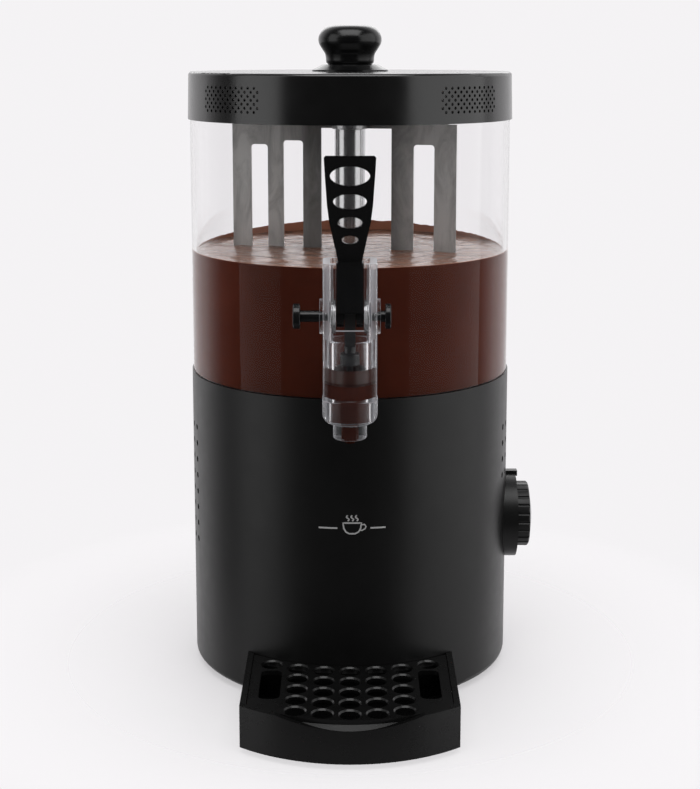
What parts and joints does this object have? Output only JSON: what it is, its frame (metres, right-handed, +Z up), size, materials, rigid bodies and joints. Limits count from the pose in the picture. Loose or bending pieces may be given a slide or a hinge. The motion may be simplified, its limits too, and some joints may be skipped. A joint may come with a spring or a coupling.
{
  "type": "heated stirred hot drink dispenser",
  "caption": "Counter-top hot chocolate dispenser: black round heated base, clear tank with slatted stirrer on a standpipe, vented lid, clear lever tap, side dial and removable drip tray.",
  "frame": {"origin": "on the tank's vertical axis at the standing surface", "axes": "+Z up, -Y towards the tap and the drip tray (front), +X towards the thermostat dial"},
  "size_m": [0.2505, 0.326, 0.4616],
  "materials": {
    "body_black": "matte fine-textured black paint",
    "lid_black": "satin black paint",
    "black_plastic": "satin black moulded plastic",
    "tray_black": "fine-textured black moulded plastic",
    "dark_plastic": "plain dark moulding",
    "pale_plastic": "plain engineering plastic",
    "rubber_black": "matte black rubber",
    "clear_tank": "clear moulded tank, polished",
    "clear_tap": "clear moulded tap, polished",
    "polished_steel": "polished stainless tube",
    "brushed_sheet": "brushed stainless sheet, dulled by steam",
    "steel": "plain steel",
    "zinc": "zinc plated steel",
    "alu": "spun aluminium",
    "cap_silver": "satin silver cap with circular brushing",
    "copper": "copper",
    "rocker_red": "translucent red rocker"
  },
  "bodies": {
    "root": {"foot_ring": "rubber_black", "base_plate": "body_black", "base_screws": "zinc", "housing_shell": "body_black", "water_pan": "alu", "heating_element": "steel", "motor_bracket": "zinc", "bracket_screws": "zinc", "gearmotor": "steel", "standpipe": "polished_steel", "standpipe_nut": "zinc", "lower_bush": "pale_plastic", "upper_bush": "pale_plastic", "tank_gasket": "rubber_black", "tank_floor": "steel", "tank_wall": "clear_tank", "tap_body": "clear_tap", "tap_nut": "steel", "tap_gasket_outer": "rubber_black", "tap_gasket_inner": "rubber_black", "pivot_pin_left": "black_plastic", "pivot_pin_right": "black_plastic", "torsion_spring_left": "polished_steel", "torsion_spring_right": "polished_steel", "dial_bezel": "dark_plastic", "thermostat_body": "pale_plastic", "thermostat_bulb": "copper", "terminal_block": "pale_plastic", "switch_body": "dark_plastic", "cable_gland": "dark_plastic"},
    "lid": {"lid_shell": "lid_black", "knob_flange": "black_plastic", "lid_knob": "black_plastic", "lid_knob_screw": "zinc"},
    "stirrer": {"drive_shaft": "steel", "shaft_coupling": "alu", "stirrer_hub": "steel", "stirrer_blade_left": "brushed_sheet", "stirrer_blade_right": "brushed_sheet", "hub_nut": "steel"},
    "lever": {"tap_lever": "black_plastic", "lever_drive_pin": "steel"},
    "plunger": {"plunger_stem": "dark_plastic", "plunger_collar": "rubber_black", "seat_seal": "rubber_black"},
    "dial": {"dial_knob": "dark_plastic", "dial_cap": "cap_silver", "dial_shaft": "steel"},
    "tray": {"drip_tray": "tray_black"},
    "grille": {"drip_grille": "tray_black"},
    "rocker": {"switch_rocker": "rocker_red"}
  },
  "joints": [
    {"name": "lid_lift", "type": "slide", "parent": "root", "child": "lid", "axis": [0, 0, 1], "range_m": [0, 0.1]},
    {"name": "stirrer_spin", "type": "hinge", "parent": "root", "child": "stirrer", "pos_m": [0, 0, 0.3], "axis": [0, 0, 1], "continuous": true},
    {"name": "lever_tilt", "type": "hinge", "parent": "root", "child": "lever", "pos_m": [0, -0.142, 0.2768], "axis": [1, 0, 0], "range_deg": [0, 50], "stiffness_Nm_per_rad": 0.3, "springref_deg": -22.92},
    {"name": "plunger_lift", "type": "slide", "parent": "root", "child": "plunger", "axis": [0, 0, 1], "range_m": [0, 0.0065]},
    {"name": "dial_turn", "type": "hinge", "parent": "root", "child": "dial", "pos_m": [0.122, 0, 0.103], "axis": [-1, 0, 0], "range_deg": [0, 270]},
    {"name": "tray_slide", "type": "slide", "parent": "root", "child": "tray", "axis": [0, -1, 0], "range_m": [0, 0.06]},
    {"name": "grille_lift", "type": "slide", "parent": "tray", "child": "grille", "axis": [0, 0, 1], "range_m": [0, 0.05]},
    {"name": "rocker_tip", "type": "hinge", "parent": "root", "child": "rocker", "pos_m": [0, 0.111, 0.06], "axis": [1, 0, 0], "range_deg": [0, 16]}
  ],
  "couplings": [
    {"joint": "plunger_lift", "follows": "lever_tilt", "m_per_rad": 0.00702}
  ]
}
